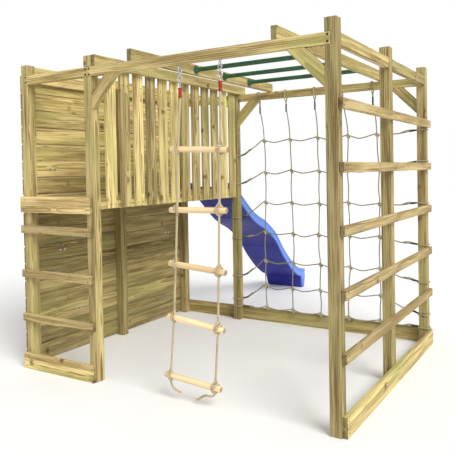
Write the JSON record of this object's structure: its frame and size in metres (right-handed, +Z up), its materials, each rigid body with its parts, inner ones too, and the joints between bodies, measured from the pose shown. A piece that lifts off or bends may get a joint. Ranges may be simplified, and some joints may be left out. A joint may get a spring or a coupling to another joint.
{
  "type": "wooden climbing frame with slide",
  "caption": "Wooden garden climbing frame: boarded play tower with a wavy slide, monkey bars, rope ladder, climbing net and climbing boards.",
  "frame": {"origin": "centre of the footprint, on the ground", "axes": "+X from the play tower towards the monkey-bar bay, +Y back, the way the slide runs, +Z up"},
  "size_m": [2.3686, 3.5072, 2.1103],
  "materials": {
    "pine": "planed, pressure treated",
    "warm_pine": "planed",
    "beech": "turned and lacquered",
    "green_paint": "gloss",
    "blue_plastic": "gloss",
    "red_plastic": "satin",
    "zinc": "zinc plated",
    "ladder_rope": "laid rope",
    "net_cord": "laid rope"
  },
  "bodies": {
    "frame": {"post_front_left": "pine", "post_front_middle": "pine", "post_front_right": "pine", "post_side_right": "pine", "post_rear_right": "pine", "post_rear_middle": "pine", "post_rear_left": "pine", "post_wall_left": "pine", "beam_front_tower": "pine", "beam_front_bay": "pine", "beam_rear_tower": "pine", "beam_rear_bay": "pine", "beam_right_front": "pine", "beam_right_rear": "pine", "wall_rail_front": "pine", "wall_rail_rear": "pine", "rail_tower_side": "pine", "rail_monkey_left": "pine", "rail_monkey_right": "pine", "brace_front_middle": "pine", "brace_front_right": "pine", "brace_rear_middle": "pine", "brace_rear_right": "pine", "ground_board_right": "pine", "ground_board_front": "pine", "ground_board_rear": "pine", "wall_cladding": "pine", "deck": "pine", "deck_frame": "pine", "slat_panel": "pine", "climb_board_1": "warm_pine", "climb_board_2": "warm_pine", "climb_board_3": "warm_pine", "climb_board_4": "warm_pine", "climb_board_5": "warm_pine", "tower_rung_1": "warm_pine", "tower_rung_2": "warm_pine", "tower_rung_3": "warm_pine", "fascia_front": "warm_pine", "monkey_bar_1": "green_paint", "monkey_bar_2": "green_paint", "monkey_bar_3": "green_paint", "monkey_bar_4": "green_paint", "slide": "blue_plastic", "ladder_eye_left": "zinc", "ladder_eye_right": "zinc", "climbing_net": "net_cord"},
    "ladder_upper": {"ladder_hook_left": "zinc", "ladder_hook_right": "zinc", "ladder_thimble_left": "red_plastic", "ladder_thimble_right": "red_plastic", "ladder_rope_upper_left": "ladder_rope", "ladder_rope_upper_right": "ladder_rope", "ladder_rung_1": "beech", "ladder_rung_2": "beech", "ladder_rung_3": "beech"},
    "ladder_lower": {"ladder_rope_lower_left": "ladder_rope", "ladder_rope_lower_right": "ladder_rope", "ladder_rung_4": "beech", "ladder_rung_5": "beech"}
  },
  "joints": [
    {"name": "ladder_swing", "type": "hinge", "parent": "frame", "child": "ladder_upper", "pos_m": [0.325, -1.7073, 1.9463], "axis": [1, 0, 0], "range_deg": [-35, 35]},
    {"name": "ladder_fold", "type": "hinge", "parent": "ladder_upper", "child": "ladder_lower", "pos_m": [0.281, -1.7073, 0.7963], "axis": [0.9972, 0, -0.075], "range_deg": [-25, 25]}
  ]
}
